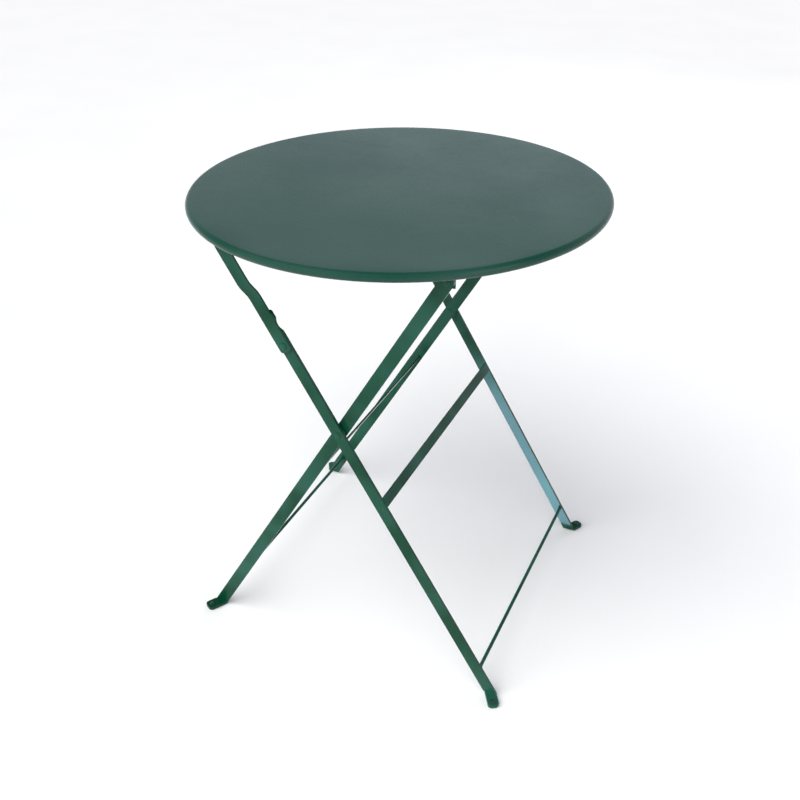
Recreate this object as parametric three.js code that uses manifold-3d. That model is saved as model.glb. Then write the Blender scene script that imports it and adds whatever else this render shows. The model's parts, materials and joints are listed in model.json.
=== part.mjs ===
// Folding bistro table with a round pressed-steel top on two scissor frames of flat bar.
// Units are millimetres. Z is up, X runs along the folding direction and Y along the hinge lines.
// The origin is on the floor under the middle of the top.
//
// "Inner" frame: its legs are closest to the middle of the table and hinge straight to the top.
// "Outer" frame: crosses outside the inner one and is held up by two short stays.
// "near" pieces lie at negative Y, "far" pieces at positive Y.

import * as THREE from 'three';
import { mergeVertices } from 'three/addons/utils/BufferGeometryUtils.js';
import Module from 'manifold-3d';

const wasm = await Module();
wasm.setup();

// ---------------------------------------------------------------- driving dimensions

const TOP_DIAMETER = 600;
const TABLE_HEIGHT = 700;
const SHEET_THICKNESS = 1.5;
const RIM_RADIUS = 6.5;             // outside radius of the rolled edge
const RIM_CURL_DEGREES = 255;       // how far the edge is rolled round
const TOP_SEGMENTS = 96;

const CROSSING_X = 2;               // scissor rivet line
const CROSSING_Z = 411.3;
const LEG_LEAN_DEGREES = 30.9;      // lean of both frames from upright when unfolded
const LEG_PIVOT_Z = 669;            // rivet line that hinges the inner frame to the top
const STAY_PIVOT_Z = 674;           // rivet line that hinges the stays to the top

const OUTER_BAR_WIDTH = 17;         // flat bar of the legs
const INNER_BAR_WIDTH = 19;
const BAR_THICKNESS = 5;
const INNER_LEG_Y = 207;            // middle of the inner legs' thickness
const OUTER_LEG_Y = 217;            // middle of the outer legs' thickness

const CROSSBAR_THICKNESS = 3;       // flat bar that ties two legs below the crossing
const CROSSBAR_FROM_CROSSING = 121; // distance down the legs, to the bar's middle
const CROSSBAR_WIDTH = 15.5;
const OUTER_CROSSBAR_OFFSET = 7.7;  // off the legs' middle line, on the side of +X
const INNER_CROSSBAR_OFFSET = 4;
const ROD_DIAMETER = 5.5;           // round rod that ties two legs near the feet
const ROD_FROM_CROSSING = 426;
const OUTER_ROD_OFFSET = 5.8;       // off the legs' middle line, on the side of +X
const INNER_ROD_OFFSET = 0;

const TIP_PAST_STAY_RIVET = 52;     // outer leg's length beyond the stay's rivet
const TIP_ROUNDING = 13;
const TIP_CORNER_RADIUS = 3.5;
const WAIST_PAST_STAY_RIVET = 28.8; // middle of the scallop in the leg's edge below its tip
const WAIST_LENGTH = 20;
const WAIST_DEPTH = 3.8;
const STOP_LENGTH = 12;             // small lug on the outer leg's tip that the stay rests on
const STOP_THICKNESS = 1.9;
const STOP_ROOT_DEPTH = 1.2;        // how deep the lug's root reaches into the leg
const STOP_CORNER_RADIUS = 3;

const STAY_WIDTH = 18;
const STAY_THICKNESS = 3;
const STAY_PAST_RIVET = 9.5;        // the stay's squared lower end
const STAY_CORNER_RADIUS = 5;
const STAY_JOGGLE_START = 79.5;     // from the lower rivet
const STAY_JOGGLE_LENGTH = 19;
const STAY_JOGGLE_OFFSET = 6.6;
const STAY_JOGGLE_EASE = 4;         // length over which each bend of the joggle starts
const STAY_JOGGLE_FIRST_STEP = 0.66; // how far the bar has moved over by the end of that length

const RAIL_WIDTH = 18;              // bent flat bars under the top
const RAIL_THICKNESS = 3;
const RAIL_BEND_RADIUS = 5;         // outside radius
const LUG_BELOW_PIVOT = 9.5;

const HOLE_RADIUS = 3.3;
const SHANK_RADIUS = 3;
const HEAD_RADIUS = 5;
const HEAD_HEIGHT = 1.6;
const TAIL_RADIUS = 4.2;
const TAIL_HEIGHT = 0.8;
const SPACER_RADIUS = 8;

const FOOT_BEND_RADIUS = 3.2;       // at the middle of the bar's thickness
const FOOT_JOIN_RISE = 12;          // the straight leg is joined to its bent foot this far above the bend
const FOOT_TAB_LENGTH = 24;
const FOOT_CORNER_RADIUS = 6;
const FOOT_STUD_FROM_END = 8.5;
const GLIDE_THICKNESS = 1;          // pad between the tab and the floor
const GLIDE_RADIUS = 7;
const STUD_HEAD_RADIUS = 4.5;
const STUD_HEAD_HEIGHT = 2.2;
const STUD_SHANK_RADIUS = 2.5;
const STUD_HOLE_RADIUS = 2.8;

const GAP = 0.3;                    // clearance between touching pieces
const CUT_MARGIN = 4;               // how far cutting tools run past what they cut
const SPLIT_RECESS = 0.2;           // how far each half of the stay's rivet stops inside its own bar
const MERGE_DISTANCE = 1e-4;

// ---------------------------------------------------------------- worked-out dimensions

const degrees = THREE.MathUtils.degToRad;
const LEAN = degrees(LEG_LEAN_DEGREES);
const HALF_THICKNESS = BAR_THICKNESS / 2;

const LEG_PIVOT_DISTANCE = (LEG_PIVOT_Z - CROSSING_Z) / Math.cos(LEAN);
const LEG_PIVOT_X = CROSSING_X + LEG_PIVOT_DISTANCE * Math.sin(LEAN);
const STAY_PIVOT_DISTANCE = (STAY_PIVOT_Z - CROSSING_Z) / Math.cos(LEAN);
const STAY_PIVOT_X = CROSSING_X - STAY_PIVOT_DISTANCE * Math.sin(LEAN);
const TOP_PIVOT_SPACING = Math.hypot(LEG_PIVOT_X - STAY_PIVOT_X, LEG_PIVOT_Z - STAY_PIVOT_Z);

// The linkage closes flat when the two pairs of opposite links add up to the same length.
const STAY_RIVET_DISTANCE = (LEG_PIVOT_DISTANCE + STAY_PIVOT_DISTANCE - TOP_PIVOT_SPACING) / 2;
const STAY_RIVET_X = CROSSING_X - STAY_RIVET_DISTANCE * Math.sin(LEAN);
const STAY_RIVET_Z = CROSSING_Z + STAY_RIVET_DISTANCE * Math.cos(LEAN);

const INNER_LEG_INSIDE = INNER_LEG_Y - HALF_THICKNESS;
const INNER_LEG_OUTSIDE = INNER_LEG_Y + HALF_THICKNESS;
const OUTER_LEG_INSIDE = OUTER_LEG_Y - HALF_THICKNESS;
const OUTER_LEG_OUTSIDE = OUTER_LEG_Y + HALF_THICKNESS;
const STAY_INSIDE = OUTER_LEG_OUTSIDE + GAP;
const STAY_OUTSIDE = STAY_INSIDE + STAY_THICKNESS;
const STAY_TOP_INSIDE = STAY_INSIDE + STAY_JOGGLE_OFFSET;
const STAY_TOP_OUTSIDE = STAY_OUTSIDE + STAY_JOGGLE_OFFSET;

const TAB_MIDDLE_Z = GLIDE_THICKNESS + GAP + HALF_THICKNESS;
const BEND_TOP_Z = TAB_MIDDLE_Z + FOOT_BEND_RADIUS;
const FOOT_JOIN_Z = BEND_TOP_Z + FOOT_JOIN_RISE;

const NEAR = -1;
const FAR = 1;
const SIDES = [['near', NEAR], ['far', FAR]];

// A frame's lean: +1 leans its top towards -X (outer frame), -1 towards +X (inner frame).
const OUTER = { lean: 1, middleY: OUTER_LEG_Y, halfWidth: OUTER_BAR_WIDTH / 2 };
const INNER = { lean: -1, middleY: INNER_LEG_Y, halfWidth: INNER_BAR_WIDTH / 2 };

// ---------------------------------------------------------------- materials

const paint = () => new THREE.MeshStandardMaterial({ color: 0x1f5c45, roughness: 0.32, metalness: 0.15 });
const topPaint = () => new THREE.MeshStandardMaterial({ color: 0x2b5146, roughness: 0.45, metalness: 0.1 });
const nylon = () => new THREE.MeshStandardMaterial({ color: 0x16201d, roughness: 0.6, metalness: 0 });

// ---------------------------------------------------------------- solids

// Joins coincident corners and drops the triangles that collapse when they are joined.
function tidy(geometry) {
  const bare = geometry.clone();
  bare.deleteAttribute('normal');
  bare.deleteAttribute('uv');
  const merged = mergeVertices(bare, MERGE_DISTANCE);
  const corners = merged.index.array;
  const kept = [];
  for (let i = 0; i < corners.length; i += 3) {
    const [a, b, c] = corners.slice(i, i + 3);
    if (a !== b && b !== c && c !== a) kept.push(a, b, c);
  }
  merged.setIndex(kept);
  return merged;
}

function solidOf(geometry) {
  const closed = tidy(geometry);
  const vertProperties = new Float32Array(closed.attributes.position.array);
  const triVerts = new Uint32Array(closed.index.array);
  return new wasm.Manifold(new wasm.Mesh({ numProp: 3, vertProperties, triVerts }));
}

function geometryOf(solid) {
  const mesh = solid.getMesh();
  const geometry = new THREE.BufferGeometry();
  geometry.setAttribute('position', new THREE.BufferAttribute(new Float32Array(mesh.vertProperties), 3));
  geometry.setIndex(new THREE.BufferAttribute(new Uint32Array(mesh.triVerts), 1));
  return geometry;
}

function shapeFrom(points) {
  return new THREE.Shape(points.map(([x, y]) => new THREE.Vector2(x, y)));
}

// Points of an arc, both ends included.
function arcPoints(centreX, centreY, radius, startDegrees, endDegrees, steps) {
  return Array.from({ length: steps + 1 }, (_, i) => {
    const angle = degrees(startDegrees + (endDegrees - startDegrees) * i / steps);
    return [centreX + radius * Math.cos(angle), centreY + radius * Math.sin(angle)];
  });
}

// A plate between two distances from the middle of the table, drawn in X and Z.
function uprightPlate(shape, inside, outside, side, curveSegments = 12) {
  const geometry = new THREE.ExtrudeGeometry(shape, {
    depth: outside - inside, bevelEnabled: false, curveSegments,
  });
  geometry.rotateX(Math.PI / 2);
  const highY = side === NEAR ? -inside : outside;
  return geometry.translate(0, highY, 0);
}

// A plate drawn in a frame's own axes: across the leg, and up along it from the crossing.
function legPlate(shape, inside, outside, side, frame) {
  const geometry = uprightPlate(shape, inside, outside, side);
  return geometry.rotateY(-frame.lean * LEAN).translate(CROSSING_X, 0, CROSSING_Z);
}

// A turned piece round a line along Y. Heights in the profile are distances from the table's middle.
function turned(profile, x, z, side, segments = 16) {
  const geometry = new THREE.LatheGeometry(profile.map(([r, h]) => new THREE.Vector2(r, h)), segments);
  if (side === NEAR) geometry.rotateX(Math.PI);
  return geometry.translate(x, 0, z);
}

function hole(radius, x, z, inside, outside, side) {
  const low = inside - CUT_MARGIN;
  const high = outside + CUT_MARGIN;
  return solidOf(turned([[0, low], [radius, low], [radius, high], [0, high]], x, z, side, 20));
}

// The two ends of a rivet, as parts of its profile: a small upset tail and a low domed head.
function rivetTail(face) {
  return [
    [0, face - TAIL_HEIGHT],
    [TAIL_RADIUS * 0.85, face - TAIL_HEIGHT],
    [TAIL_RADIUS, face - TAIL_HEIGHT / 2],
    [TAIL_RADIUS, face],
    [SHANK_RADIUS, face],
  ];
}

function rivetHead(face) {
  const crown = arcPoints(0, 0, 1, 8, 78, 4);
  return [
    [SHANK_RADIUS, face],
    [HEAD_RADIUS, face],
    ...crown.map(([x, y]) => [HEAD_RADIUS * x, face + HEAD_HEIGHT * y]),
    [0, face + HEAD_HEIGHT],
  ];
}

// ---------------------------------------------------------------- the top and what is welded to it

function tabletop() {
  const rimCentre = TOP_DIAMETER / 2 - RIM_RADIUS;
  const rimZ = TABLE_HEIGHT - RIM_RADIUS;
  const endAngle = 90 - RIM_CURL_DEGREES;
  const outer = arcPoints(rimCentre, rimZ, RIM_RADIUS, 90, endAngle, 14);
  const inner = arcPoints(rimCentre, rimZ, RIM_RADIUS - SHEET_THICKNESS, endAngle, 90, 10);
  const profile = [[0, TABLE_HEIGHT], ...outer, ...inner, [0, TABLE_HEIGHT - SHEET_THICKNESS]];
  const points = profile.reverse().map(([r, z]) => new THREE.Vector2(r, z));
  return new THREE.LatheGeometry(points, TOP_SEGMENTS).rotateX(Math.PI / 2);
}

// A flat bar across the underside with both ends bent down into drilled lugs.
function rail(pivotX, pivotZ, lugOutside) {
  const topZ = TABLE_HEIGHT - SHEET_THICKNESS - GAP;
  const bottomZ = pivotZ - LUG_BELOW_PIVOT;
  const innerRadius = RAIL_BEND_RADIUS - RAIL_THICKNESS;
  const bendY = lugOutside - RAIL_BEND_RADIUS;
  const bendZ = topZ - RAIL_BEND_RADIUS;
  const outline = [
    [lugOutside, bottomZ],
    ...arcPoints(bendY, bendZ, RAIL_BEND_RADIUS, 0, 90, 5),
    ...arcPoints(-bendY, bendZ, RAIL_BEND_RADIUS, 90, 180, 5),
    [-lugOutside, bottomZ],
    [-lugOutside + RAIL_THICKNESS, bottomZ],
    ...arcPoints(-bendY, bendZ, innerRadius, 180, 90, 4),
    ...arcPoints(bendY, bendZ, innerRadius, 90, 0, 4),
    [lugOutside - RAIL_THICKNESS, bottomZ],
  ];
  const bar = new THREE.ExtrudeGeometry(shapeFrom(outline), { depth: RAIL_WIDTH, bevelEnabled: false });
  bar.rotateX(Math.PI / 2).rotateZ(Math.PI / 2).translate(pivotX - RAIL_WIDTH / 2, 0, 0);
  let solid = solidOf(bar);
  for (const [, side] of SIDES) {
    solid = solid.subtract(hole(HOLE_RADIUS, pivotX, pivotZ, lugOutside - RAIL_THICKNESS, lugOutside, side));
  }
  return geometryOf(solid);
}

// ---------------------------------------------------------------- legs

// How far up the leg, from the crossing, a point at this offset across it and this height lies.
function alongAtHeight(frame, across, height) {
  return (height - CROSSING_Z - frame.lean * across * Math.sin(LEAN)) / Math.cos(LEAN);
}

// The bent lower end: down, round the bend and level, keeping the bar's slant all the way.
function footBend(frame, side) {
  const stations = [[0, 0]];
  const bendSteps = 5;
  for (let i = 1; i <= bendSteps; i += 1) {
    stations.push([FOOT_BEND_RADIUS * degrees(90) * i / bendSteps, 90 * i / bendSteps]);
  }
  stations.unshift([BEND_TOP_Z - FOOT_JOIN_Z - GAP, 0]);
  const slant = Math.tan(LEAN) * frame.lean;
  const halfWidth = frame.halfWidth / Math.cos(LEAN);
  const bendX = CROSSING_X + slant * (CROSSING_Z - BEND_TOP_Z);
  const rings = stations.map(([length, turnedBy]) => {
    const angle = degrees(turnedBy);
    const straight = Math.min(length, 0);
    const y = side * (frame.middleY + FOOT_BEND_RADIUS * (1 - Math.cos(angle)));
    const z = BEND_TOP_Z - straight - FOOT_BEND_RADIUS * Math.sin(angle);
    const outY = side * Math.cos(angle) * HALF_THICKNESS;
    const outZ = Math.sin(angle) * HALF_THICKNESS;
    const x = bendX + slant * length;
    return [
      [x - halfWidth, y - outY, z - outZ], [x + halfWidth, y - outY, z - outZ],
      [x + halfWidth, y + outY, z + outZ], [x - halfWidth, y + outY, z + outZ],
    ];
  });
  const faces = [[0, 1, 2], [0, 2, 3]];
  const last = 4 * (rings.length - 1);
  faces.push([last, last + 2, last + 1], [last, last + 3, last + 2]);
  for (let ring = 0; ring < rings.length - 1; ring += 1) {
    for (let corner = 0; corner < 4; corner += 1) {
      const a = 4 * ring + corner;
      const b = 4 * ring + (corner + 1) % 4;
      faces.push([a, a + 4, b], [b, a + 4, b + 4]);
    }
  }
  const wound = side === FAR ? faces : faces.map(([a, b, c]) => [a, c, b]);
  const geometry = new THREE.BufferGeometry();
  geometry.setAttribute('position', new THREE.BufferAttribute(new Float32Array(rings.flat(2)), 3));
  geometry.setIndex(wound.flat());
  return solidOf(geometry);
}

// Where the level tab of a foot starts and which way it points.
function tabStart(frame, side) {
  const slant = Math.tan(LEAN) * frame.lean;
  return {
    x: CROSSING_X + slant * (CROSSING_Z - BEND_TOP_Z + FOOT_BEND_RADIUS * degrees(90)),
    y: side * (frame.middleY + FOOT_BEND_RADIUS),
    heading: Math.atan2(side * Math.cos(LEAN), frame.lean * Math.sin(LEAN)),
  };
}

function studPlace(frame, side) {
  const start = tabStart(frame, side);
  const distance = FOOT_TAB_LENGTH - FOOT_STUD_FROM_END;
  return [start.x + distance * Math.cos(start.heading), start.y + distance * Math.sin(start.heading)];
}

function footTab(frame, side) {
  const start = tabStart(frame, side);
  const r = FOOT_CORNER_RADIUS;
  const half = frame.halfWidth;
  const skew = half * Math.tan(LEAN) * frame.lean * side;
  const overlap = 0.4;
  const outline = shapeFrom([
    [-overlap + skew, -half],
    ...arcPoints(FOOT_TAB_LENGTH - r, r - half, r, -90, 0, 5),
    ...arcPoints(FOOT_TAB_LENGTH - r, half - r, r, 0, 90, 5),
    [-overlap - skew, half],
  ]);
  const plate = new THREE.ExtrudeGeometry(outline, { depth: BAR_THICKNESS, bevelEnabled: false });
  plate.rotateZ(start.heading).translate(start.x, start.y, TAB_MIDDLE_Z - HALF_THICKNESS);
  const [studX, studY] = studPlace(frame, side);
  const low = -CUT_MARGIN;
  const high = TAB_MIDDLE_Z + HALF_THICKNESS + CUT_MARGIN;
  const drill = [[0, low], [STUD_HOLE_RADIUS, low], [STUD_HOLE_RADIUS, high], [0, high]];
  const drillGeometry = new THREE.LatheGeometry(drill.map(([r1, h]) => new THREE.Vector2(r1, h)), 16);
  drillGeometry.rotateX(Math.PI / 2).translate(studX, studY, 0);
  return solidOf(plate).subtract(solidOf(drillGeometry));
}

function leg(frame, side, upperOutline, extra, drilled) {
  const inside = frame.middleY - HALF_THICKNESS;
  const outside = frame.middleY + HALF_THICKNESS;
  const outline = shapeFrom([
    [frame.halfWidth, alongAtHeight(frame, frame.halfWidth, FOOT_JOIN_Z)],
    ...upperOutline,
    [-frame.halfWidth, alongAtHeight(frame, -frame.halfWidth, FOOT_JOIN_Z)],
  ]);
  let solid = solidOf(legPlate(outline, inside, outside, side, frame));
  solid = solid.add(footBend(frame, side)).add(footTab(frame, side));
  if (extra) solid = solid.add(extra);
  for (const [x, z] of drilled) {
    solid = solid.subtract(hole(HOLE_RADIUS, x, z, inside, outside, side));
  }
  return geometryOf(solid);
}

function innerLeg(side) {
  const roundEnd = arcPoints(0, LEG_PIVOT_DISTANCE, INNER.halfWidth, 0, 180, 10);
  return leg(INNER, side, roundEnd, null, [[CROSSING_X, CROSSING_Z], [LEG_PIVOT_X, LEG_PIVOT_Z]]);
}

// The lug that stops the stay: a root let into the leg's outer face and a lip beside the stay's edge.
function stopLug(tip, side) {
  const inner = STAY_WIDTH / 2 + GAP;
  const outer = inner + STOP_THICKNESS;
  const low = tip - STOP_CORNER_RADIUS - STOP_LENGTH;
  const high = tip - STOP_CORNER_RADIUS;
  const r = STOP_CORNER_RADIUS;
  const outline = (start) => shapeFrom([
    [start, low],
    [outer - STOP_THICKNESS / 2, low],
    ...arcPoints(outer - r, low + r, r, -30, 0, 3),
    ...arcPoints(outer - r, high - r, r, 0, 30, 3),
    [outer - STOP_THICKNESS / 2, high],
    [start, high],
  ]);
  const rootInside = OUTER_LEG_OUTSIDE - STOP_ROOT_DEPTH;
  const root = legPlate(outline(inner - 3 * STOP_THICKNESS), rootInside, OUTER_LEG_OUTSIDE, side, OUTER);
  const lip = legPlate(outline(inner), rootInside, STAY_OUTSIDE, side, OUTER);
  return solidOf(root).add(solidOf(lip));
}

// The outer leg runs on past the stay's rivet. The lug on its tip keeps the stay and the leg from
// being pushed past the straight line.
function outerLeg(side) {
  const half = OUTER.halfWidth;
  const tip = STAY_RIVET_DISTANCE + TIP_PAST_STAY_RIVET;
  const waist = STAY_RIVET_DISTANCE + WAIST_PAST_STAY_RIVET;
  const halfChord = WAIST_LENGTH / 2;
  const waistRadius = (halfChord ** 2 + WAIST_DEPTH ** 2) / (2 * WAIST_DEPTH);
  const turn = THREE.MathUtils.radToDeg(Math.asin(halfChord / waistRadius));
  const outline = [
    ...arcPoints(half - WAIST_DEPTH + waistRadius, waist, waistRadius, 180 + turn, 180 - turn, 8),
    ...arcPoints(half - TIP_CORNER_RADIUS, tip - TIP_CORNER_RADIUS, TIP_CORNER_RADIUS, 0, 90, 5),
    ...arcPoints(TIP_ROUNDING - half, tip - TIP_ROUNDING, TIP_ROUNDING, 90, 180, 6),
  ];
  const drilled = [[CROSSING_X, CROSSING_Z], [STAY_RIVET_X, STAY_RIVET_Z]];
  return leg(OUTER, side, outline, stopLug(tip, side), drilled);
}

// ---------------------------------------------------------------- what ties the legs together

function alongLeg(frame, distance, across) {
  const x = CROSSING_X + distance * Math.sin(LEAN) * frame.lean + across * Math.cos(LEAN);
  const z = CROSSING_Z - distance * Math.cos(LEAN) + across * Math.sin(LEAN) * frame.lean;
  return [x, z];
}

function crossbar(frame, offset) {
  const reach = frame.middleY - HALF_THICKNESS - GAP;
  const bar = new THREE.BoxGeometry(CROSSBAR_THICKNESS, 2 * reach, CROSSBAR_WIDTH);
  const [x, z] = alongLeg(frame, CROSSBAR_FROM_CROSSING, offset);
  return bar.rotateY(-frame.lean * LEAN).translate(x, 0, z);
}

function tieRod(frame, offset) {
  const reach = frame.middleY - HALF_THICKNESS - GAP;
  const [x, z] = alongLeg(frame, ROD_FROM_CROSSING, offset);
  return new THREE.CylinderGeometry(ROD_DIAMETER / 2, ROD_DIAMETER / 2, 2 * reach, 20).translate(x, 0, z);
}

// ---------------------------------------------------------------- stays

// Flat bar that steps outwards part way up, rounded at its upper end and squared at its lower end.
function stay(side) {
  const low = STAY_RIVET_DISTANCE;
  const high = STAY_PIVOT_DISTANCE;
  const half = STAY_WIDTH / 2;
  const r = STAY_CORNER_RADIUS;
  const outline = shapeFrom([
    ...arcPoints(0, high, half, 0, 180, 10),
    ...arcPoints(r - half, low - STAY_PAST_RIVET + r, r, 180, 270, 5),
    ...arcPoints(half - r, low - STAY_PAST_RIVET + r, r, 270, 360, 5),
  ]);
  const blank = solidOf(legPlate(outline, STAY_INSIDE - CUT_MARGIN, STAY_TOP_OUTSIDE + CUT_MARGIN, side, OUTER));

  const start = low + STAY_JOGGLE_START;
  const end = start + STAY_JOGGLE_LENGTH;
  const path = [
    [STAY_INSIDE, low - STAY_WIDTH],
    [STAY_INSIDE, start - STAY_JOGGLE_EASE],
    [STAY_INSIDE + STAY_JOGGLE_FIRST_STEP, start + STAY_JOGGLE_EASE / 2],
    [STAY_TOP_INSIDE - STAY_JOGGLE_FIRST_STEP, end - STAY_JOGGLE_EASE / 2],
    [STAY_TOP_INSIDE, end + STAY_JOGGLE_EASE],
    [STAY_TOP_INSIDE, high + STAY_WIDTH],
  ];
  const back = path.map(([y, along]) => [y + STAY_THICKNESS, along]).reverse();
  const edge = shapeFrom([...path, ...back].map(([y, along]) => [side * y, along]));
  const strip = new THREE.ExtrudeGeometry(edge, { depth: 2 * STAY_WIDTH, bevelEnabled: false });
  strip.translate(0, 0, -STAY_WIDTH).rotateX(Math.PI / 2).rotateZ(Math.PI / 2);
  strip.rotateY(-OUTER.lean * LEAN).translate(CROSSING_X, 0, CROSSING_Z);

  const lowHole = hole(HOLE_RADIUS, STAY_RIVET_X, STAY_RIVET_Z, STAY_INSIDE, STAY_OUTSIDE, side);
  const highHole = hole(HOLE_RADIUS, STAY_PIVOT_X, STAY_PIVOT_Z, STAY_TOP_INSIDE, STAY_TOP_OUTSIDE, side);
  return geometryOf(blank.intersect(solidOf(strip)).subtract(lowHole).subtract(highHole));
}

// ---------------------------------------------------------------- rivets, spacers and glides

function rivet(x, z, tailFace, headFace, side) {
  return turned([...rivetTail(tailFace), ...rivetHead(headFace)], x, z, side);
}

// The stay's rivet is made in two halves, one for each of the two bars it joins.
function stayRivetHalf(side, isHead) {
  const splitLow = OUTER_LEG_OUTSIDE - SPLIT_RECESS;
  const splitHigh = STAY_INSIDE + SPLIT_RECESS;
  const profile = isHead
    ? [[0, splitHigh], [SHANK_RADIUS, splitHigh], ...rivetHead(STAY_OUTSIDE + GAP)]
    : [...rivetTail(OUTER_LEG_INSIDE - GAP), [SHANK_RADIUS, splitLow], [0, splitLow]];
  return turned(profile, STAY_RIVET_X, STAY_RIVET_Z, side);
}

function scissorSpacer(side) {
  const low = INNER_LEG_OUTSIDE + GAP;
  const high = OUTER_LEG_INSIDE - GAP;
  const profile = [
    [HOLE_RADIUS, low],
    [SPACER_RADIUS, low],
    [SPACER_RADIUS, high],
    [HOLE_RADIUS, high],
    [HOLE_RADIUS, low],
  ];
  return turned(profile, CROSSING_X, CROSSING_Z, side, 24);
}

// A pad under the foot tab with a stud that goes up through the tab and ends in a dome.
function footGlide(frame, side) {
  const tabTop = TAB_MIDDLE_Z + HALF_THICKNESS + GAP;
  const dome = arcPoints(0, 0, 1, 10, 80, 3);
  const profile = [
    [0, 0],
    [GLIDE_RADIUS, 0],
    [GLIDE_RADIUS, GLIDE_THICKNESS],
    [STUD_SHANK_RADIUS, GLIDE_THICKNESS],
    [STUD_SHANK_RADIUS, tabTop],
    [STUD_HEAD_RADIUS, tabTop],
    ...dome.map(([x, y]) => [STUD_HEAD_RADIUS * x, tabTop + STUD_HEAD_HEIGHT * y]),
    [0, tabTop + STUD_HEAD_HEIGHT],
  ];
  const geometry = new THREE.LatheGeometry(profile.map(([r, h]) => new THREE.Vector2(r, h)), 20);
  const [x, y] = studPlace(frame, side);
  return geometry.rotateX(Math.PI / 2).translate(x, y, 0);
}

// ---------------------------------------------------------------- assembly

const table = new THREE.Group();

function place(name, geometry, material) {
  const mesh = new THREE.Mesh(tidy(geometry), material);
  mesh.name = name;
  table.add(mesh);
}

place('tabletop', tabletop(), topPaint());
place('pivot_rail', rail(LEG_PIVOT_X, LEG_PIVOT_Z, INNER_LEG_INSIDE - GAP), paint());
place('stay_rail', rail(STAY_PIVOT_X, STAY_PIVOT_Z, STAY_TOP_INSIDE - GAP), paint());

place('outer_crossbar', crossbar(OUTER, OUTER_CROSSBAR_OFFSET), paint());
place('inner_crossbar', crossbar(INNER, INNER_CROSSBAR_OFFSET), paint());
place('outer_rod', tieRod(OUTER, OUTER_ROD_OFFSET), paint());
place('inner_rod', tieRod(INNER, INNER_ROD_OFFSET), paint());

for (const [word, side] of SIDES) {
  place('inner_leg_' + word, innerLeg(side), paint());
  place('outer_leg_' + word, outerLeg(side), paint());
  place('stay_' + word, stay(side), paint());
  place('scissor_spacer_' + word, scissorSpacer(side), paint());

  const lugInside = INNER_LEG_INSIDE - GAP - RAIL_THICKNESS - GAP;
  const legPivotHead = INNER_LEG_OUTSIDE + GAP;
  place('leg_pivot_rivet_' + word, rivet(LEG_PIVOT_X, LEG_PIVOT_Z, lugInside, legPivotHead, side), paint());

  const stayLugInside = STAY_TOP_INSIDE - GAP - RAIL_THICKNESS - GAP;
  const stayHead = STAY_TOP_OUTSIDE + GAP;
  place('stay_rail_rivet_' + word, rivet(STAY_PIVOT_X, STAY_PIVOT_Z, stayLugInside, stayHead, side), paint());

  const scissorTail = INNER_LEG_INSIDE - GAP;
  const scissorHead = OUTER_LEG_OUTSIDE + GAP;
  place('scissor_rivet_' + word, rivet(CROSSING_X, CROSSING_Z, scissorTail, scissorHead, side), paint());

  place('stay_rivet_head_' + word, stayRivetHalf(side, true), paint());
  place('stay_rivet_tail_' + word, stayRivetHalf(side, false), paint());
  place('outer_foot_glide_' + word, footGlide(OUTER, side), nylon());
  place('inner_foot_glide_' + word, footGlide(INNER, side), nylon());
}

export default table;
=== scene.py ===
"""Looks of the folding bistro table: smooth pieces, painted steel, studio floor, light and camera."""
import json
import math

import bmesh
import bpy
from mathutils import Matrix, Vector, noise


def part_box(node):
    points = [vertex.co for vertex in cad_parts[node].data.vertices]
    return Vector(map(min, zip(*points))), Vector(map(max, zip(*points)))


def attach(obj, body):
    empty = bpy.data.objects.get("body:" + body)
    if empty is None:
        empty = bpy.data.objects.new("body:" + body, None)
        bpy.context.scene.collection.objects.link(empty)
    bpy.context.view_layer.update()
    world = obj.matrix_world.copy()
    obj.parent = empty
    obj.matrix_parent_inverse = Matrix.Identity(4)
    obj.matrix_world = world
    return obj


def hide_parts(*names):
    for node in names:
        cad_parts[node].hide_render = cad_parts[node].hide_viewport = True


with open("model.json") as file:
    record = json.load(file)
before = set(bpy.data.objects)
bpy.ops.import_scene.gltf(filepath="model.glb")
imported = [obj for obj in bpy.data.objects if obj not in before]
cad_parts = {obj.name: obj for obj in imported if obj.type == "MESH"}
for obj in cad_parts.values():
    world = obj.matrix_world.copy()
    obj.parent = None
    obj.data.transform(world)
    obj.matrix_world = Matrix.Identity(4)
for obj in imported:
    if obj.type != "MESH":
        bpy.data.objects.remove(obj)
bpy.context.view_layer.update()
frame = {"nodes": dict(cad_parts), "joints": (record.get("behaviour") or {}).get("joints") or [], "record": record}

NODES = frame["nodes"]
SIDES = ("near", "far")
MM = 0.001

# ------------------------------------------------------------------ sizes, in millimetres and degrees

TOP_RADIUS = 300.0
TOP_Z = 700.0
SHEET = 1.5
RIM_RADIUS = 6.5
RIM_CURL = 255.0
RIM_STEPS_OUTSIDE, RIM_STEPS_INSIDE = 40, 30
TOP_RINGS = 30
TOP_SEGMENTS = 192

# The sheet is a little wavy, up to this depth, and calm again where it meets the rim. The slice
# picks one layer of the noise.
WAVE_HEIGHT = 0.22
WAVE_LENGTH = 130.0
WAVE_FADE = 60.0
WAVE_SLICE = 3.0

# A rivet's head is a dome, a hair narrower where it meets the bar. Its hammered tail is lower and
# flatter. Each pair of the tail's profile is a share of its radius and a share of its height.
SHANK = 3.0
HEAD, HEAD_HEIGHT = 5.0, 1.6
HEAD_FOOT_SHARE = 0.985
HEAD_STEPS = 9
TAIL, TAIL_HEIGHT = 4.2, 0.8
TAIL_PROFILE = ((0.55, 1.0), (0.80, 0.88), (0.95, 0.60), (1.0, 0.30), (1.0, 0.0))
RIVET_SEGMENTS = 48

WASHER_RADIUS = 8.0
WASHER_BORE = 3.3
WASHER_CHAMFER = 0.6

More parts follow.
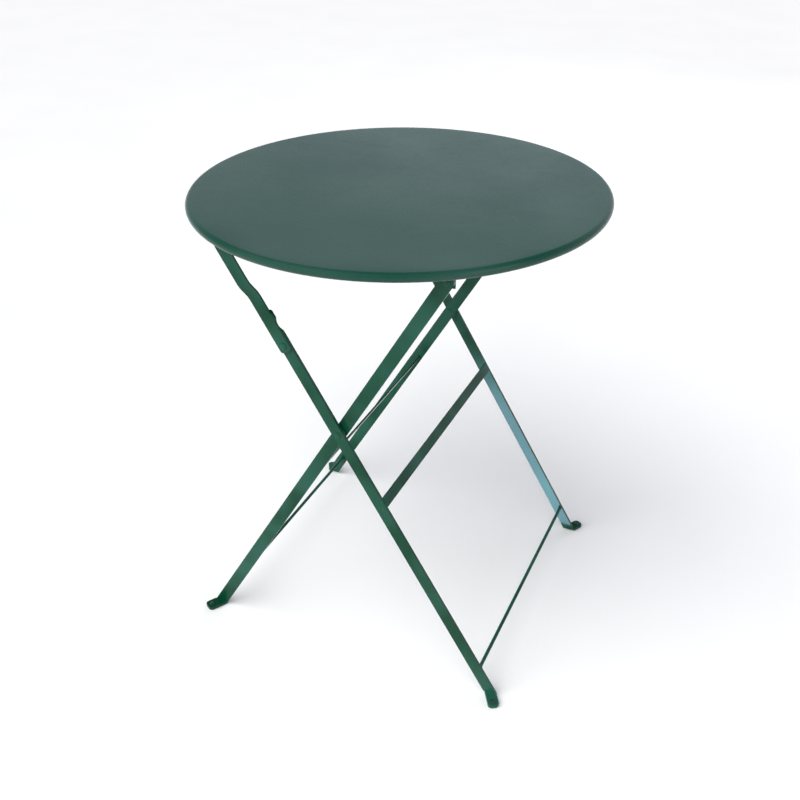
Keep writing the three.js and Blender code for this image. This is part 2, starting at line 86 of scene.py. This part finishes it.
# Each pair of the flare is a distance from the rod's end and a share of the rod's radius.
ROD_FLARE = ((0.0, 1.32), (0.7, 1.30), (1.4, 1.22), (2.2, 1.11), (3.2, 1.04), (4.5, 1.0))
ROD = 2.75
ROD_STATIONS = 24
ROD_SEGMENTS = 32

# Each pair of the pad's edge is a distance out from its radius and a height.
PAD_EDGE = ((-0.4, 0.0), (0.0, 0.35), (0.0, 0.7), (-0.3, 1.0))
STUD = 2.5
STUD_DOME, STUD_DOME_HEIGHT = 4.5, 2.2
STUD_DOME_STEPS = 8
GLIDE_SEGMENTS = 40

# Domes run between these angles, and end on a pole vertex.
DOME_START, DOME_END = 6, 84

# A weld bead's depth of ripple, wander and size at its ends are shares of its radius. It swells
# from its end size at the growth rate, per share of its length.
BEAD_SIDES = 12
BEAD_STEP = 0.5
BEAD_LEAST_STEPS = 10
BEAD_RIPPLE_LENGTH = 2.2
BEAD_RIPPLE_DEPTH = 0.12
BEAD_WANDER = 0.10
BEAD_WANDER_SCALE = 5
BEAD_END_SIZE = 0.25
BEAD_END_GROWTH = 3.5

# Where beads run: a crossbar's are out from its middle plane and in from its end, a rail's are
# beside its flange.
CROSSBAR_BEAD_RADIUS = 1.15
CROSSBAR_BEAD_REACH = 7.2
CROSSBAR_BEAD_OFFSET = 1.9
CROSSBAR_BEAD_INSET = 0.7
RAIL_BEAD_RADIUS = 1.3
RAIL_BEAD_REACH = 11
RAIL_BEAD_GAP = 0.3
RAIL_BEAD_PLACES = (-150, -50, 50, 150)

# Points closer than this are one corner, and facets flatter than this angle are one face.
CORNER_MERGE = 0.02
FLAT_FACE_ANGLE = 1.0
BAR_EDGE_RADIUS = 0.6
BAR_EDGE_SEGMENTS = 3
BAR_EDGE_ANGLE = 40


def node_centre(node):
    """The centre and the size of a CAD node's box."""
    low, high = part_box(node)
    return (low + high) / 2 / MM, (high - low) / MM


def hinge_place(joint):
    """Where a joint's axis crosses the table's middle plane."""
    for entry in frame["joints"]:
        if entry["name"] == joint:
            return Vector(entry["pos_m"]) / MM
    raise ValueError(f"there is no joint named {joint}")


# How far the open legs lean from upright, in radians.
CROSSING_TO_LEG_TOP = hinge_place("fold") - hinge_place("scissor")
LEAN = math.atan2(CROSSING_TO_LEG_TOP.x, CROSSING_TO_LEG_TOP.z)

# ------------------------------------------------------------------ material nodes


class Nodes:
    """A material's node tree, with short calls to add nodes and join them."""

    # The colour sockets of a Mix node that are in use when it mixes colours.
    MIX_COLOURS = (6, 7)
    MIX_RESULT = 2

    def __init__(self, name):
        self.material = bpy.data.materials.new(name)
        self.material.use_nodes = True
        self.tree = self.material.node_tree
        self.shader = self.tree.nodes["Principled BSDF"]
        self.place = self.tree.nodes.new("ShaderNodeTexCoord").outputs["Object"]

    def join(self, output, socket):
        self.tree.links.new(output, socket)

    def noise(self, scale, detail=3.0, rough=0.5, distort=0.0):
        node = self.tree.nodes.new("ShaderNodeTexNoise")
        node.inputs["Scale"].default_value = scale
        node.inputs["Detail"].default_value = detail
        node.inputs["Roughness"].default_value = rough
        node.inputs["Distortion"].default_value = distort
        self.join(self.place, node.inputs["Vector"])
        return node.outputs["Fac"]

    def cells(self, scale):
        node = self.tree.nodes.new("ShaderNodeTexVoronoi")
        node.inputs["Scale"].default_value = scale
        self.join(self.place, node.inputs["Vector"])
        return node.outputs["Distance"]

    def remap(self, value, low, high, to_low=0.0, to_high=1.0):
        node = self.tree.nodes.new("ShaderNodeMapRange")
        node.clamp = True
        self.join(value, node.inputs["Value"])
        for name, number in (("From Min", low), ("From Max", high), ("To Min", to_low), ("To Max", to_high)):
            node.inputs[name].default_value = number
        return node.outputs["Result"]

    def multiply(self, a, b):
        node = self.tree.nodes.new("ShaderNodeMath")
        node.operation = "MULTIPLY"
        self.join(a, node.inputs[0])
        self.join(b, node.inputs[1])
        return node.outputs[0]

    def blend(self, factor, first, second):
        node = self.tree.nodes.new("ShaderNodeMix")
        node.data_type = "RGBA"
        self.join(factor, node.inputs["Factor"])
        for index, colour in zip(self.MIX_COLOURS, (first, second)):
            if isinstance(colour, bpy.types.NodeSocket):
                self.join(colour, node.inputs[index])
            else:
                node.inputs[index].default_value = (*colour, 1.0)
        return node.outputs[self.MIX_RESULT]

    def bump(self, height, strength, distance_mm, under=None):
        node = self.tree.nodes.new("ShaderNodeBump")
        node.inputs["Strength"].default_value = strength
        node.inputs["Distance"].default_value = distance_mm * MM
        self.join(height, node.inputs["Height"])
        if under is not None:
            self.join(under, node.inputs["Normal"])
        return node.outputs["Normal"]


# Texture scales count features per metre, so a scale of 900 is a grain of about a millimetre.
WAVE_SCALE = 11.0
SMUDGE_SCALE = 24.0
DUST_PATCH_SCALE = 38.0
NICK_SCALE = 160.0
DUST_SPECK_SCALE = 420.0
PEEL_SCALE = 900.0

# The part of each noise's range that shows, from nothing to full.
CLOUD_RANGE = (0.36, 0.72)
SMUDGE_RANGE = (0.3, 0.75)
DUST_PATCH_RANGE = (0.52, 0.72)
NICK_RANGE = (0.70, 0.80)
EVEN_RANGE = (0.3, 0.7)

DUST_SPECK_SIZE = 0.16
DUST_COLOUR = (0.16, 0.24, 0.20)
DUST_COVER = 0.35
PEEL_DEPTH = 0.05
NICK_DEPTH, NICK_STRENGTH = 0.06, 0.15
PAINT_IOR = 1.5
COAT_ROUGHNESS = 0.12


def painted_steel(name, colour, dull_colour, cloud_scale, roughness, peel, wave_depth, shine, coat):
    """Green powder coat: fine orange peel, cloudy gloss, slow waviness of the steel, pin-prick dust."""
    nodes = Nodes(name)
    shader = nodes.shader
    clouds = nodes.noise(cloud_scale, detail=1.5, rough=0.40, distort=0.3)
    tint = nodes.blend(nodes.remap(clouds, *CLOUD_RANGE), colour, dull_colour)
    patches = nodes.remap(nodes.noise(DUST_PATCH_SCALE, detail=2.0), *DUST_PATCH_RANGE)
    specks = nodes.remap(nodes.cells(DUST_SPECK_SCALE), 0.0, DUST_SPECK_SIZE, 1.0, 0.0)
    dust = nodes.remap(nodes.multiply(specks, patches), 0.0, 1.0, 0.0, DUST_COVER)
    nodes.join(nodes.blend(dust, tint, DUST_COLOUR), shader.inputs["Base Color"])
    smudge = nodes.noise(SMUDGE_SCALE, detail=5.0, rough=0.6, distort=1.2)
    nodes.join(nodes.remap(smudge, *SMUDGE_RANGE, *roughness), shader.inputs["Roughness"])
    slow = nodes.noise(WAVE_SCALE, detail=1.0, rough=0.4)
    wave = nodes.bump(slow, strength=1.0, distance_mm=wave_depth)
    fine = nodes.noise(PEEL_SCALE, detail=2.0)
    ripple = nodes.bump(fine, strength=peel, distance_mm=PEEL_DEPTH, under=wave)
    nicks = nodes.noise(NICK_SCALE, detail=4.0, rough=0.7, distort=2.0)
    nicks = nodes.remap(nicks, *NICK_RANGE, 1.0, 0.0)
    nodes.join(nodes.bump(nicks, NICK_STRENGTH, NICK_DEPTH, ripple), shader.inputs["Normal"])
    shader.inputs["Metallic"].default_value = 0.0
    shader.inputs["IOR"].default_value = PAINT_IOR
    shader.inputs["Specular IOR Level"].default_value = shine
    shader.inputs["Coat Weight"].default_value = coat
    shader.inputs["Coat Roughness"].default_value = COAT_ROUGHNESS
    return nodes.material


NYLON_MOTTLE_SCALE = 120.0
NYLON_GLOSS_SCALE = 300.0
NYLON_GRAIN_SCALE = 1500.0
NYLON_GRAIN_DEPTH, NYLON_GRAIN_STRENGTH = 0.03, 0.4
NYLON_ROUGHNESS = (0.38, 0.62)
NYLON_DARK = (0.010, 0.030, 0.024)
NYLON_LIGHT = (0.020, 0.050, 0.040)


def moulded_nylon(name):
    """Dark green nylon with a fine moulded grain."""
    nodes = Nodes(name)
    shade = nodes.remap(nodes.noise(NYLON_MOTTLE_SCALE, detail=4.0, rough=0.6), *EVEN_RANGE)
    nodes.join(nodes.blend(shade, NYLON_DARK, NYLON_LIGHT), nodes.shader.inputs["Base Color"])
    gloss = nodes.remap(nodes.noise(NYLON_GLOSS_SCALE), *EVEN_RANGE, *NYLON_ROUGHNESS)
    nodes.join(gloss, nodes.shader.inputs["Roughness"])
    grain = nodes.bump(nodes.noise(NYLON_GRAIN_SCALE), NYLON_GRAIN_STRENGTH, NYLON_GRAIN_DEPTH)
    nodes.join(grain, nodes.shader.inputs["Normal"])
    return nodes.material


TOP_PAINT = painted_steel(
    "satin_green_top",
    colour=(0.005, 0.051, 0.032),
    dull_colour=(0.023, 0.072, 0.053),
    cloud_scale=5.2,
    roughness=(0.24, 0.31),
    peel=0.03,
    wave_depth=0.40,
    shine=0.24,
    coat=0.0)
FRAME_PAINT = painted_steel(
    "gloss_green_frame",
    colour=(0.001, 0.043, 0.020),
    dull_colour=(0.014, 0.086, 0.055),
    cloud_scale=16.0,
    roughness=(0.16, 0.30),
    peel=0.35,
    wave_depth=0.18,
    shine=0.20,
    coat=0.03)
NYLON = moulded_nylon("glide_nylon")
PAINT_OF_SLOT = {"top_paint": TOP_PAINT, "frame_paint": FRAME_PAINT, "glide": NYLON}

# ------------------------------------------------------------------ mesh building


def make_piece(name, mesh, body, slot, replaced=()):
    """Turns a bmesh in millimetres into a smooth-shaded piece that rides on a body."""
    mesh.transform(Matrix.Scale(MM, 4))
    bmesh.ops.recalc_face_normals(mesh, faces=mesh.faces)
    data = bpy.data.meshes.new(name)
    mesh.to_mesh(data)
    mesh.free()
    data.shade_smooth()
    piece = bpy.data.objects.new(name, data)
    bpy.context.scene.collection.objects.link(piece)
    data.materials.append(PAINT_OF_SLOT[slot])
    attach(piece, body)
    if replaced:
        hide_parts(*replaced)
    return piece


def along_y(side, x, z):
    """Places a turned piece on a line along Y; heights count outwards from the middle of the table."""
    return lambda r, angle, h: (x + r * math.cos(angle), side * h, z + r * math.sin(angle))


def along_z(x, y):
    """Places a turned piece on an upright line; heights count up from the floor."""
    return lambda r, angle, h: (x + r * math.cos(angle), y + r * math.sin(angle), h)


def lathe(profile, place, segments, closed=False):
    """Turns a profile of (radius, height) points. A radius of 0 becomes one pole vertex."""
    mesh = bmesh.new()
    rings = []
    for r, h in profile:
        if r == 0:
            rings.append([mesh.verts.new(place(0, 0, h))])
        else:
            rings.append([mesh.verts.new(place(r, math.tau * i / segments, h)) for i in range(segments)])
    pairs = list(zip(rings, rings[1:]))
    if closed:
        pairs.append((rings[-1], rings[0]))
    for low, high in pairs:
        for i in range(segments):
            j = (i + 1) % segments
            corners = [low[i % len(low)], low[j % len(low)], high[j % len(high)], high[i % len(high)]]
            face = list(dict.fromkeys(corners))
            if len(face) > 2:
                mesh.faces.new(face)
    return mesh


def arc(centre_r, centre_h, radius, start, end, steps):
    """Points of a profile along an arc, between two angles in degrees."""
    points = []
    for i in range(steps + 1):
        angle = math.radians(start + (end - start) * i / steps)
        points.append((centre_r + radius * math.cos(angle), centre_h + radius * math.sin(angle)))
    return points


def dome(radius, foot, height, steps):
    """Points of a profile up a flattened dome that stands at a foot height."""
    curve = arc(0, 0, 1, DOME_START, DOME_END, steps)
    return [(radius * r, foot + height * h) for r, h in curve]


# ------------------------------------------------------------------ the round top


def tabletop():
    """The pressed sheet and its rolled rim in one skin, with the slight waves of thin steel."""
    rim_r = TOP_RADIUS - RIM_RADIUS
    rim_z = TOP_Z - RIM_RADIUS
    curl_end = 90 - RIM_CURL
    flat = [(rim_r * i / TOP_RINGS, TOP_Z) for i in range(TOP_RINGS)]
    outside = arc(rim_r, rim_z, RIM_RADIUS, 90, curl_end, RIM_STEPS_OUTSIDE)
    inside = arc(rim_r, rim_z, RIM_RADIUS - SHEET, curl_end, 90, RIM_STEPS_INSIDE)
    lower = [(rim_r * i / TOP_RINGS, TOP_Z - SHEET) for i in range(TOP_RINGS - 1, -1, -1)]
    mesh = lathe(flat + outside + inside + lower, along_z(0, 0), TOP_SEGMENTS)
    # Only the flat sheet is wavy, not the rolled rim.
    for vert in mesh.verts:
        radius = math.hypot(vert.co.x, vert.co.y)
        if radius < rim_r - 1 and vert.co.z > TOP_Z - 2 * SHEET:
            fade = min(1.0, (rim_r - radius) / WAVE_FADE)
            wave = noise.noise(Vector((vert.co.x / WAVE_LENGTH, vert.co.y / WAVE_LENGTH, WAVE_SLICE)))
            vert.co.z -= WAVE_HEIGHT * fade * (0.5 + 0.5 * wave)
    return make_piece("round_top", mesh, "top", "top_paint", ["tabletop"])


# ------------------------------------------------------------------ rivets, washers, rods and glides


def rivet_tail(low):
    """Profile of a hammered tail, from its end face to the shank."""
    face = low + TAIL_HEIGHT
    rounded = [(TAIL * across, face - TAIL_HEIGHT * down) for across, down in TAIL_PROFILE]
    return [(0, low), *rounded, (SHANK, face)]


def rivet_head(high):
    """Profile of a domed head, from the shank to its end."""
    face = high - HEAD_HEIGHT
    crown = dome(HEAD, face, HEAD_HEIGHT, HEAD_STEPS)
    return [(SHANK, face), (HEAD * HEAD_FOOT_SHARE, face), *crown, (0, high)]


def cut_start(low):
    """The inner end of a rivet's outer half, cut flat across the shank."""
    return [(0, low), (SHANK, low)]


def cut_end(high):
    """The outer end of a rivet's inner half, cut flat across the shank."""
    return [(SHANK, high), (0, high)]


def reach_along_y(node):
    """The side a node is on, where its axis is, and how far out it starts and ends."""
    centre, size = node_centre(node)
    side = 1 if centre.y > 0 else -1
    middle = abs(centre.y)
    return side, centre, middle - size.y / 2, middle + size.y / 2


def rivet(name, node, body, start=rivet_tail, end=rivet_head):
    """A rivet that fills its CAD node's box."""
    side, centre, low, high = reach_along_y(node)
    mesh = lathe(start(low) + end(high), along_y(side, centre.x, centre.z), RIVET_SEGMENTS)
    return make_piece(name, mesh, body, "frame_paint", [node])


def washer(name, node, body):
    """A chamfered spacer ring between the two legs at their crossing."""
    side, centre, low, high = reach_along_y(node)
    flat = WASHER_RADIUS - WASHER_CHAMFER
    ring = [(WASHER_BORE, low), (flat, low), (WASHER_RADIUS, low + WASHER_CHAMFER),
            (WASHER_RADIUS, high - WASHER_CHAMFER), (flat, high), (WASHER_BORE, high)]
    mesh = lathe(ring, along_y(side, centre.x, centre.z), RIVET_SEGMENTS, closed=True)
    return make_piece(name, mesh, body, "frame_paint", [node])


def fasteners():
    """The rivets and the washer of each side. The one that joins stay and leg is in two halves."""
    for side in SIDES:
        rivet("rivet_leg_pivot_" + side, "leg_pivot_rivet_" + side, "top")
        rivet("rivet_stay_top_" + side, "stay_rail_rivet_" + side, "top")
        rivet("rivet_crossing_" + side, "scissor_rivet_" + side, "inner_frame")
        rivet("rivet_stay_foot_head_" + side, "stay_rivet_head_" + side, side + "_stay", start=cut_start)
        rivet("rivet_stay_foot_tail_" + side, "stay_rivet_tail_" + side, "outer_frame", end=cut_end)
        washer("crossing_washer_" + side, "scissor_spacer_" + side, "inner_frame")


def rods():
    """Tie rods with the flared weld that joins each end to its leg."""
    for word in ("outer", "inner"):
        centre, size = node_centre(word + "_rod")
        reach = size.y / 2
        left = [(ROD * swell, -reach + run) for run, swell in ROD_FLARE]
        right = [(ROD * swell, reach - run) for run, swell in reversed(ROD_FLARE)]
        middle = [(ROD, -reach + 2 * reach * i / ROD_STATIONS) for i in range(1, ROD_STATIONS)]
        profile = [(0, -reach)] + left + middle + right + [(0, reach)]
        mesh = lathe(profile, along_y(1, centre.x, centre.z), ROD_SEGMENTS)
        make_piece(word + "_tie_rod", mesh, word + "_frame", "frame_paint", [word + "_rod"])


def glides():
    """Nylon pads under the feet, each with a stud that ends in a dome above the foot."""
    for word in ("outer", "inner"):
        for side in SIDES:
            node = f"{word}_foot_glide_{side}"
            centre, size = node_centre(node)
            pad = [(size.x / 2 + out, height) for out, height in PAD_EDGE]
            shoulder = size.z - STUD_DOME_HEIGHT
            stud = [(STUD, PAD_EDGE[-1][1]), (STUD, shoulder), (STUD_DOME, shoulder)]
            crown = dome(STUD_DOME, shoulder, STUD_DOME_HEIGHT, STUD_DOME_STEPS)
            profile = [(0, 0), *pad, *stud, *crown, (0, size.z)]
            mesh = lathe(profile, along_z(centre.x, centre.y), GLIDE_SEGMENTS)
            make_piece(f"glide_{word}_{side}", mesh, word + "_frame", "glide", [node])


# ------------------------------------------------------------------ weld beads


def bead(name, start, end, radius, body):
    """A weld bead: a round run of overlapping ripples that tapers at both ends."""
    run = end - start
    length = run.length
    forward = run.normalized()
    sideways = forward.orthogonal().normalized()
    upward = forward.cross(sideways)
    steps = max(BEAD_LEAST_STEPS, int(length / BEAD_STEP))
    angles = [math.tau * k / BEAD_SIDES for k in range(BEAD_SIDES)]
    mesh = bmesh.new()
    rings = []
    for i in range(steps + 1):
        t = i / steps
        taper = min(1.0, BEAD_END_GROWTH * min(t, 1 - t) + BEAD_END_SIZE)
        ripple = abs(math.sin(math.pi * t * length / BEAD_RIPPLE_LENGTH))
        size = radius * math.sqrt(taper) * (1 - BEAD_RIPPLE_DEPTH + BEAD_RIPPLE_DEPTH * ripple)
        drift = noise.noise(Vector((t * BEAD_WANDER_SCALE, length, radius)))
        middle = start + run * t + sideways * (BEAD_WANDER * radius * drift)
        rings.append([mesh.verts.new(middle + size * (sideways * math.cos(a) + upward * math.sin(a)))
                      for a in angles])
    for low, high in zip(rings, rings[1:]):
        for k in range(BEAD_SIDES):
            after = (k + 1) % BEAD_SIDES
            mesh.faces.new([low[k], low[after], high[after], high[k]])
    mesh.faces.new(rings[0])
    mesh.faces.new(rings[-1])
    return make_piece(name, mesh, body, "frame_paint")


def crossbar_beads(word, lean, faces):
    """Beads down the broad faces of a crossbar, where its two ends meet the legs."""
    down = Vector((math.sin(LEAN) * lean, 0, -math.cos(LEAN)))
    across = Vector((math.cos(LEAN), 0, math.sin(LEAN) * lean))
    centre, size = node_centre(word + "_crossbar")
    for side, sign in (("near", -1), ("far", 1)):
        end = Vector((0, sign * (size.y / 2 - CROSSBAR_BEAD_INSET), 0))
        for face, facing in faces:
            middle = centre + end + across * (facing * CROSSBAR_BEAD_OFFSET)
            half = down * CROSSBAR_BEAD_REACH
            bead(f"weld_{word}_crossbar_{face}_{side}", middle - half, middle + half,
                 CROSSBAR_BEAD_RADIUS, word + "_frame")


def rail_beads(word, rail):
    """Beads along both edges of a rail's flange, just under the sheet."""
    centre, size = node_centre(rail)
    out = size.x / 2 + RAIL_BEAD_GAP
    height = centre.z + size.z / 2 - RAIL_BEAD_RADIUS
    half = Vector((0, RAIL_BEAD_REACH, 0))
    for edge, sign in (("left", -1), ("right", 1)):
        for number, y in enumerate(RAIL_BEAD_PLACES):
            middle = Vector((centre.x + sign * out, y, height))
            bead(f"weld_{word}_rail_{edge}_{number}", middle - half, middle + half, RAIL_BEAD_RADIUS, "top")


def weld_beads():
    """The welds of crossbars and rails. Those of the tie rods are part of the rods."""
    crossbar_beads("outer", 1, [("lower", -1)])
    crossbar_beads("inner", -1, [("lower", -1), ("upper", 1)])
    rail_beads("leg", "pivot_rail")
    rail_beads("stay", "stay_rail")


# ------------------------------------------------------------------ bars carried over from the frame


def finish_bars():
    """Paints every CAD node, and rounds the sheared edges of the bars and rails that stay visible."""
    slots = {entry["node"]: entry["material_slot"] for entry in frame["record"]["subparts"]}
    for name, node in NODES.items():
        data = node.data
        data.materials.clear()
        data.materials.append(PAINT_OF_SLOT[slots[name]])
        if not node.hide_render:
            round_bar_edges(node)


def round_bar_edges(node):
    """Joins the facets of each flat face, then rounds what is left as an edge."""
    data = node.data
    if "custom_normal" in data.attributes:
        data.attributes.remove(data.attributes["custom_normal"])
    data.shade_smooth()
    weld = node.modifiers.new("join_corners", "WELD")
    weld.merge_threshold = CORNER_MERGE * MM
    flatten = node.modifiers.new("join_flat_faces", "DECIMATE")
    flatten.decimate_type = "DISSOLVE"
    flatten.angle_limit = math.radians(FLAT_FACE_ANGLE)
    edge = node.modifiers.new("round_edges", "BEVEL")
    edge.width = BAR_EDGE_RADIUS * MM
    edge.segments = BAR_EDGE_SEGMENTS
    edge.limit_method = "ANGLE"
    edge.angle_limit = math.radians(BAR_EDGE_ANGLE)
    edge.use_clamp_overlap = True
    edge.harden_normals = True
    normals = node.modifiers.new("even_normals", "WEIGHTED_NORMAL")
    normals.keep_sharp = True


# ------------------------------------------------------------------ floor, light and camera

# From here on, places are in metres, angles in degrees and the lens in millimetres. Light is in
# watts, or in watts per square metre for the sun.

FLOOR_SIZE = 400
FLOOR_DROP = 0.0002
FLOOR_TONE_SCALE = 3.0
FLOOR_TONES = ((0.86, 0.86, 0.86), (0.88, 0.88, 0.88))
FLOOR_ROUGHNESS = 0.9
FLOOR_SHINE = 0.1

# The studio's walls are brightest at the back of the set, and its ceiling is dim. Each pair is a
# place along a direction's Y or Z part and the brightness there.
WALL_LEVELS = ((0.0, 0.40), (0.20, 0.44), (0.50, 0.56), (0.80, 0.62), (0.90, 0.80), (1.0, 0.84))
WALL_TINT = (0.91, 0.93, 1.08)
CEILING_LEVELS = ((0.0, 1.0), (0.48, 1.0), (0.70, 0.20), (1.0, 0.12))
CEILING_TINT = (1.0, 1.0, 1.0)

SUN_PLACE = (-1.0, -2.3, 2.9)
SUN_AIM = (0, 0, 0.3)
SUN_POWER = 3.95
SUN_SOFTNESS = 70
SUN_COLOUR = (1.0, 0.995, 0.985)

PANEL_AIM = (0, 0, 0.45)
BACK_PANEL = {"place": (0.8, 2.8, 2.0), "size": 2.4, "power": 16, "colour": (0.95, 0.98, 1.0)}
SIDE_PANEL = {"place": (2.6, -0.9, 1.4), "size": 1.6, "power": 12, "colour": (0.90, 0.97, 1.0)}

CARD_PLACE = (0.07, -0.03, 0.003)
CARD_SIZE = (0.36, 0.46)
CARD_POWER = 8.5
CARD_COLOUR = (0.47, 0.72, 1.0)

CAMERA_PLACE = (0.557535, -1.244226, 1.17863)
CAMERA_FORWARD = (-0.34947, 0.77868, -0.52108)
CAMERA_RIGHT = (0.91343, 0.40697, -0.00444)
SENSOR_WIDTH = 36.0
FOCAL_LENGTH = 44.85


def floor():
    """A plain pale floor, just below the feet."""
    bpy.ops.mesh.primitive_plane_add(size=FLOOR_SIZE, location=(0, 0, -FLOOR_DROP))
    plane = bpy.context.object
    plane.name = "studio_floor"
    nodes = Nodes("pale_floor")
    tone = nodes.remap(nodes.noise(FLOOR_TONE_SCALE), *EVEN_RANGE)
    nodes.join(nodes.blend(tone, *FLOOR_TONES), nodes.shader.inputs["Base Color"])
    nodes.shader.inputs["Roughness"].default_value = FLOOR_ROUGHNESS
    nodes.shader.inputs["Specular IOR Level"].default_value = FLOOR_SHINE
    plane.data.materials.append(nodes.material)


def light_ramp(tree, value, levels, tint, socket):
    """Joins a smooth ramp of brightness between a value and a socket."""
    ramp = tree.nodes.new("ShaderNodeValToRGB")
    ramp.color_ramp.interpolation = "EASE"
    stops = ramp.color_ramp.elements
    while len(stops) < len(levels):
        stops.new(0.5)
    for stop, (position, level) in zip(stops, levels):
        stop.position = position
        stop.color = (*(level * part for part in tint), 1.0)
    tree.links.new(value, ramp.inputs["Fac"])
    tree.links.new(ramp.outputs["Color"], socket)


def walls():
    """The light of the room around the set, as a colour by direction."""
    world = bpy.data.worlds.new("studio")
    bpy.context.scene.world = world
    world.use_nodes = True
    tree = world.node_tree
    direction = tree.nodes.new("ShaderNodeTexCoord")
    split = tree.nodes.new("ShaderNodeSeparateXYZ")
    tree.links.new(direction.outputs["Generated"], split.inputs["Vector"])
    sky = tree.nodes["Background"]
    light_ramp(tree, split.outputs["Y"], WALL_LEVELS, WALL_TINT, sky.inputs["Color"])
    light_ramp(tree, split.outputs["Z"], CEILING_LEVELS, CEILING_TINT, sky.inputs["Strength"])


def add_lamp(name, kind, power, colour, place, aim):
    """A light of the given kind that stands at a place and points at another."""
    light = bpy.data.lights.new(name, kind)
    light.energy = power
    light.color = colour
    lamp = bpy.data.objects.new(name, light)
    bpy.context.scene.collection.objects.link(lamp)
    lamp.location = place
    lamp.rotation_euler = (Vector(aim) - Vector(place)).to_track_quat("-Z", "Y").to_euler()
    return lamp


def sun():
    """A big soft light from the front left, which glossy paint doesn't mirror."""
    lamp = add_lamp("overhead", "SUN", SUN_POWER, SUN_COLOUR, SUN_PLACE, SUN_AIM)
    lamp.data.angle = math.radians(SUN_SOFTNESS)
    lamp.visible_glossy = False


def panel(name, setting, mirrored):
    """A square soft box, which glossy paint mirrors or doesn't."""
    lamp = add_lamp(name, "AREA", setting["power"], setting["colour"], setting["place"], PANEL_AIM)
    lamp.data.size = setting["size"]
    lamp.visible_glossy = mirrored


def cool_card():
    """A pale blue card on the floor, seen only as a reflection in the outer leg at the back."""
    x, y, z = CARD_PLACE
    card = add_lamp("cool_card", "AREA", CARD_POWER, CARD_COLOUR, CARD_PLACE, (x, y, z + 1))
    card.data.shape = "RECTANGLE"
    card.data.size, card.data.size_y = CARD_SIZE
    card.visible_camera = False
    card.visible_diffuse = False
    mirror = bpy.data.collections.new("mirrors_the_card")
    mirror.objects.link(NODES["outer_leg_far"])
    card.light_linking.receiver_collection = mirror


def camera():
    """The camera at the photograph's angle and with its perspective."""
    data = bpy.data.cameras.new("photo_angle")
    data.sensor_width = SENSOR_WIDTH
    data.lens = FOCAL_LENGTH
    view = bpy.data.objects.new("photo_angle", data)
    bpy.context.scene.collection.objects.link(view)
    forward = Vector(CAMERA_FORWARD).normalized()
    right = Vector(CAMERA_RIGHT).normalized()
    up = right.cross(forward)
    turn = Matrix((right, up, -forward)).transposed().to_4x4()
    view.matrix_world = Matrix.Translation(CAMERA_PLACE) @ turn
    bpy.context.scene.camera = view


tabletop()
fasteners()
rods()
glides()
weld_beads()
finish_bars()
floor()
walls()
sun()
panel("back_panel", BACK_PANEL, mirrored=False)
panel("side_panel", SIDE_PANEL, mirrored=True)
cool_card()
camera()
bpy.context.scene.view_settings.view_transform = "Standard"
